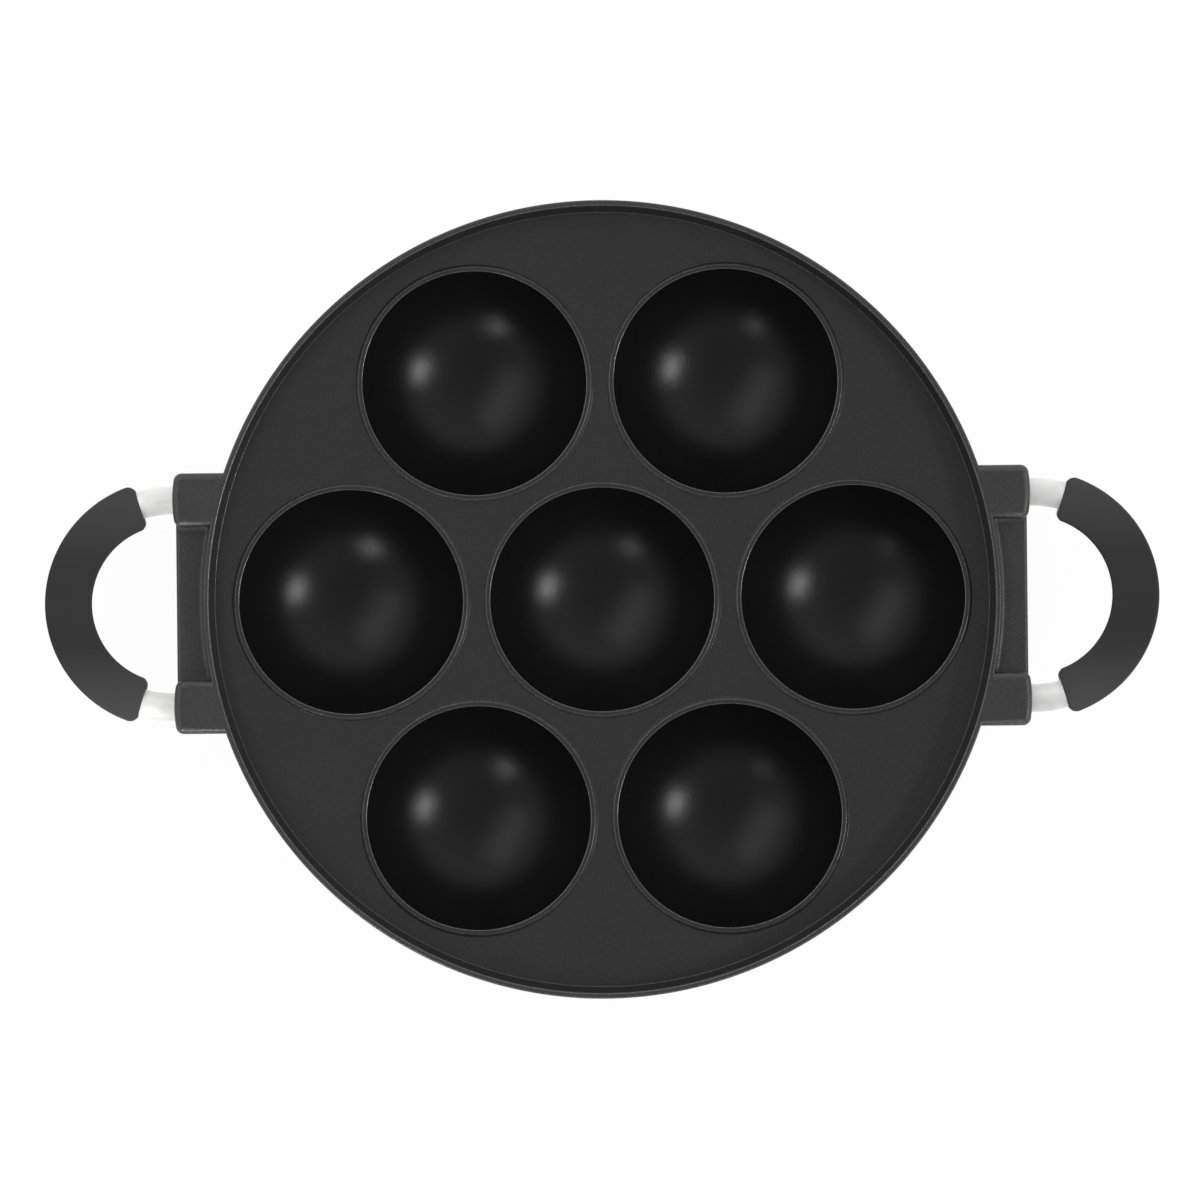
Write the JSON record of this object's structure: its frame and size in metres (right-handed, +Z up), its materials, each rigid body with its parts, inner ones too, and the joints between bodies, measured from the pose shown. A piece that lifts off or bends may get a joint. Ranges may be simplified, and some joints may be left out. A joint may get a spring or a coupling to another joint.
{
  "type": "aebleskiver pan",
  "caption": "Round cast pan with ball-shaped cups for filled pancakes, a raised rim, and a steel loop handle with a soft grip on each side.",
  "frame": {"origin": "on the table under the centre of the middle cup", "axes": "+X along the line through both handles, to the right one, +Y to the back, +Z up"},
  "size_m": [0.321, 0.23, 0.0339],
  "materials": {
    "non_stick_casting": "die-cast aluminium under a black satin non-stick coat",
    "steel_rod": "bright drawn stainless steel with fine lines along the rod",
    "silicone": "smooth matte black silicone",
    "spring_steel": "plain spring steel"
  },
  "bodies": {
    "root": {"pan_body": "non_stick_casting", "handle_rod_left": "steel_rod", "handle_rod_right": "steel_rod", "grip_left": "silicone", "grip_right": "silicone", "retaining_pin_left_front": "spring_steel", "retaining_pin_left_back": "spring_steel", "retaining_pin_right_front": "spring_steel", "retaining_pin_right_back": "spring_steel"}
  },
  "joints": []
}
